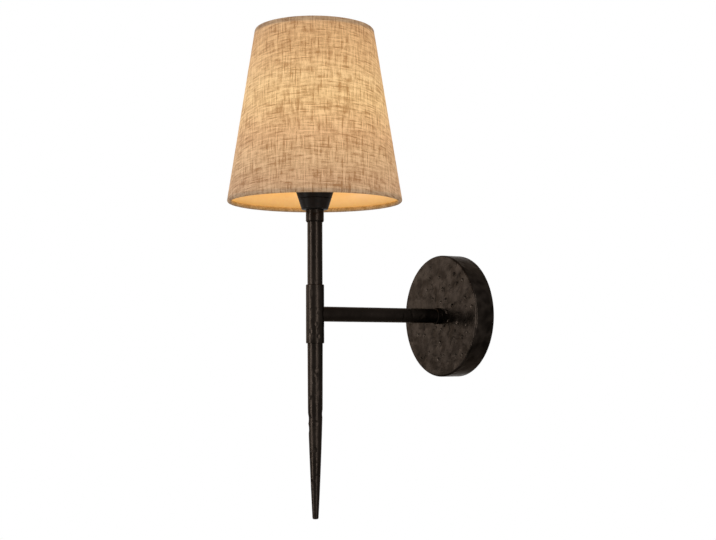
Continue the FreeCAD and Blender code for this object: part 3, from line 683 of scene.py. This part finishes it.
def linenFinish():
    material, wire = newMaterial("naturalLinen")
    cut = wire.make("ShaderNodeUVMap", {"uv_map": "cut"})
    across = wire.make("ShaderNodeSeparateXYZ", None, {0: cut}, out="X")
    up = across.other("Y")

    def bothWays(name):
        # the same stretched noise along the warp and along the weft
        wide, narrow = linenSet[name + "Scale"]
        return stretchedNoise(wire, across, up, wide, narrow), stretchedNoise(wire, across, up, narrow, wide)

    wander, waver = bothWays("wander")
    warp = across / linenSet["pitch"] + (wander - 0.5) * linenSet["wander"]
    weft = up / linenSet["pitch"] + (waver - 0.5) * linenSet["wander"]
    warpThread = wire.maths("FLOOR", warp)
    weftThread = wire.maths("FLOOR", weft)
    warpRound = wire.maths("SINE", wire.maths("FRACT", warp) * math.pi)
    weftRound = wire.maths("SINE", wire.maths("FRACT", weft) * math.pi)
    warpOver = wire.maths("FLOORED_MODULO", warpThread + weftThread, 2.0)

    warpSeed, weftSeed = linenSet["toneSeeds"]
    warpTone = stretchedNoise(wire, warpThread, up, warpSeed, linenSet["toneScale"])
    weftTone = stretchedNoise(wire, across, weftThread, linenSet["toneScale"], weftSeed)
    slubs = between(wire, warpTone, *linenSet["slubFrom"]) + between(wire, weftTone, *linenSet["slubFrom"])
    patterns = {
        "tone": (warpTone, weftTone),
        "band": bothWays("band"),
        "cloud": [stretchedNoise(wire, across, up, *linenSet["cloudScale"])],
        "speck": [stretchedNoise(wire, across, up, *linenSet["speckScale"])],
        "fleck": bothWays("fleck"),
    }
    top = warpOver * warpRound + (1 - warpOver) * weftRound
    gaps = (1 - warpRound) * (1 - weftRound)
    flap = wire.make("ShaderNodeAttribute", {"attribute_name": "flap"}, out="Fac")
    shares = linenSet["shares"]
    thickAndShade = linenSet["thickAndShade"] + slubs * shares["slub"] + top * shares["top"] + gaps * shares["gap"]
    # painted shade: the flap mask darkens the colour of the turned-in flap inside the shade and lets less
    # lamp light through it
    thickAndShade = thickAndShade + flap * shares["flap"]
    for name, noises in patterns.items():
        for each in noises:
            thickAndShade = thickAndShade + (each - 0.5) * shares[name]
    thickAndShade = wire.make("ShaderNodeClamp", None, {"Value": thickAndShade})

    glow = rampOver(wire, objectPlace(wire, "Z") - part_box("shade_fabric")[0].z, linenSet["glow"])
    thin, dense = linenSet["through"]
    light = wire.make("ShaderNodeVectorMath", {"operation": "MULTIPLY"},
                      {0: glow, 1: mixColour(wire, thickAndShade, thin, dense)})
    light = wire.make("ShaderNodeVectorMath", {"operation": "ADD"},
                      {0: light, 1: scaled(wire, linenSet["flapGlow"], flap)})
    relief = wire.maths("MAXIMUM", warpRound * (0.5 + warpOver * 0.5), weftRound * (1 - warpOver * 0.5))
    finishWith(wire, {
        "Base Color": mixColour(wire, thickAndShade, linenSet["colour"], linenSet["dark"]),
        "Roughness": linenSet["roughness"],
        "Specular IOR Level": linenSet["gloss"],
        "Emission Color": light,
        "Emission Strength": 1.0,
        "Normal": bumpFrom(wire, relief * linenSet["threadHeight"] + slubs * linenSet["slubHeight"]),
    })
    return material


# Rolled and cut threads

threadSet = {
    "around": 72,
    "rise": 10,  # points in one pitch
    "spare": 3,  # turns more than needed, before both ends are trimmed
    "merge": 0.00002,
    "nudge": 0.00001,  # keeps two rings at one height apart
    "smoothAngle": 40,
}


def threadWall(name, radius, depth, pitch, low, high):
    # one pitch of the thread's profile, turned round the upright axis at the origin and trimmed to length
    rise = threadSet["rise"]
    turns = math.ceil((high - low) / pitch) + threadSet["spare"]
    start = low - pitch * threadSet["spare"] / 2
    profile = [(radius - depth * (0.5 - 0.5 * math.cos(2 * math.pi * i / rise)), 0, start + pitch * i / rise)
               for i in range(rise + 1)]
    wall = startOutline(name, profile[0])
    drawOutline(wall, profile)
    bpy.ops.object.mode_set(mode="OBJECT")
    screw = wall.modifiers.new("turns", "SCREW")
    screw.screw_offset = pitch
    screw.iterations = turns
    screw.steps = threadSet["around"]
    screw.render_steps = threadSet["around"]
    applyModifiers(wall)
    bpy.ops.object.mode_set(mode="EDIT")
    bpy.ops.mesh.select_all(action="SELECT")
    bpy.ops.mesh.remove_doubles(threshold=threadSet["merge"])
    for height, below in ((low, True), (high, False)):
        # corners up to 0.1 mm off the plane count as lying on it, so the cut edge isn't quite level
        bpy.ops.mesh.select_all(action="SELECT")
        bpy.ops.mesh.bisect(plane_co=(0, 0, height), plane_no=(0, 0, 1),
                            clear_inner=below, clear_outer=not below)
    bpy.ops.object.mode_set(mode="OBJECT")
    return wall


def addRings(wall, rings, anchor):
    # plain rings that go on from the wall's open edges at the anchor's height, each bridged to the last
    previous = anchor
    for radius, height in rings:
        takeUp(wall)
        bpy.ops.object.mode_set(mode="EDIT")
        bpy.ops.mesh.select_all(action="DESELECT")
        bpy.ops.mesh.primitive_circle_add(vertices=threadSet["around"], radius=radius,
                                          location=(0, 0, height))
        selectEdgesAt(wall, (previous, height))
        bpy.ops.mesh.bridge_edge_loops()
        bpy.ops.object.mode_set(mode="OBJECT")
        previous = height


def selectEdgesAt(piece, heights):
    # the open edges that lie at these heights
    mesh = bmesh.from_edit_mesh(piece.data)
    for face in mesh.faces:
        face.select_set(False)
    for edge in mesh.edges:
        ends = [vertex.co.z for vertex in edge.verts]
        isOpen = len(edge.link_faces) < 2
        level = any(all(abs(end - height) < threadSet["nudge"] for end in ends) for height in heights)
        edge.select_set(isOpen and level)
    bmesh.update_edit_mesh(piece.data)


bulbCapSet = {
    "pitch": 0.003629,
    "depth": 0.0008,
    "sheet": 0.0003,
    "run": 0.0006,  # from the thread's end to the plain band
    "band": 0.0062,  # plain band at the rim, over the glass
    "shoulder": 0.0036,
    "foot": (0.0092, 0.0086),  # radii of the foot's edge
}


def makeBulbCap():
    low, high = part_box("bulb_cap")
    radius = (high.x - low.x) / 2
    shoulder = low.z + bulbCapSet["shoulder"]
    band = high.z - bulbCapSet["band"]
    cap = threadWall("bulbCap", radius, bulbCapSet["depth"], bulbCapSet["pitch"], shoulder, band)
    addRings(cap, [(radius, band + bulbCapSet["run"]), (radius, high.z)], band)
    outer, inner = bulbCapSet["foot"]
    addRings(cap, [(outer, low.z), (inner, low.z + threadSet["nudge"])], shoulder)
    thicken(cap, bulbCapSet["sheet"], offset=-1)
    finishShape(cap, Matrix.Translation(stemAxis))
    return cap


armRodSet = {
    "pitch": 0.001,
    "depth": 0.00045,
    "bore": 0.0035,
}


def makeArmRod():
    # the threaded rod behind the plate, level along Y
    low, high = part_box("arm_rod")
    radius = (high.x - low.x) / 2
    length = high.y - low.y
    rod = threadWall("armRodThread", radius, armRodSet["depth"], armRodSet["pitch"], 0, length)
    mouths = (length + threadSet["nudge"], -threadSet["nudge"])
    for mouth, end in zip(mouths, (length, 0)):
        addRings(rod, [(armRodSet["bore"], mouth)], end)
    takeUp(rod)
    bpy.ops.object.mode_set(mode="EDIT")
    selectEdgesAt(rod, mouths)
    bpy.ops.mesh.bridge_edge_loops()  # the bore still comes out without its wall
    bpy.ops.object.mode_set(mode="OBJECT")
    turnOutwards(rod)
    middle = (low.z + high.z) / 2
    finishShape(rod, Matrix.Translation((0, high.y, middle)) @ Matrix.Rotation(math.radians(90), 4, "X"))
    return rod


def finishShape(piece, place):
    takeUp(piece)
    piece.matrix_world = place
    settle(piece)
    bpy.ops.object.shade_smooth_by_angle(angle=math.radians(threadSet["smoothAngle"]))


# Putting it together

finishes = {slot: plainFinish(slot) for slot in plainSet}
finishes["bronze"] = bronzeFinish()
finishes["frosted_glass"] = bulbFinish()
finishes["liner_film"] = linerFinish()
finishes["linen"] = linenFinish()
print("finishes made")

for part in frame["record"]["subparts"]:
    node = nodes[part["node"]]
    node.data.materials.clear()
    node.data.materials.append(finishes[part["material_slot"]])

shade = shadeFrame()
linen, linenCut = makeLinen(shade)
film, filmCut = makeFilm(shade)
for sheet, slot, node, cut, under in (
        (linen, "linen", "shade_fabric", linenCut, ["shade_top_wire", "shade_bottom_wire"]),
        (film, "liner_film", "shade_liner", filmCut, [linen.name])):
    sheet.data.materials.append(finishes[slot])
    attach(sheet, "shade")
    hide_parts(node)
    print(sheet.name, "made, flat size", [round(value, 4) for value in cut])

for piece, body, slot, node in ((makeBulbCap(), "bulb", "lamp_cap", "bulb_cap"),
                                (makeArmRod(), "fixture", "zinc_steel", "arm_rod")):
    piece.data.materials.append(finishes[slot])
    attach(piece, body)
    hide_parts(node)
    print(piece.name, "made with", len(piece.data.polygons), "faces")

addCamera()
addWorld()
addSoftboxes()
addFloor()
print("camera and lights placed")

bpy.context.scene.view_settings.view_transform = "Standard"
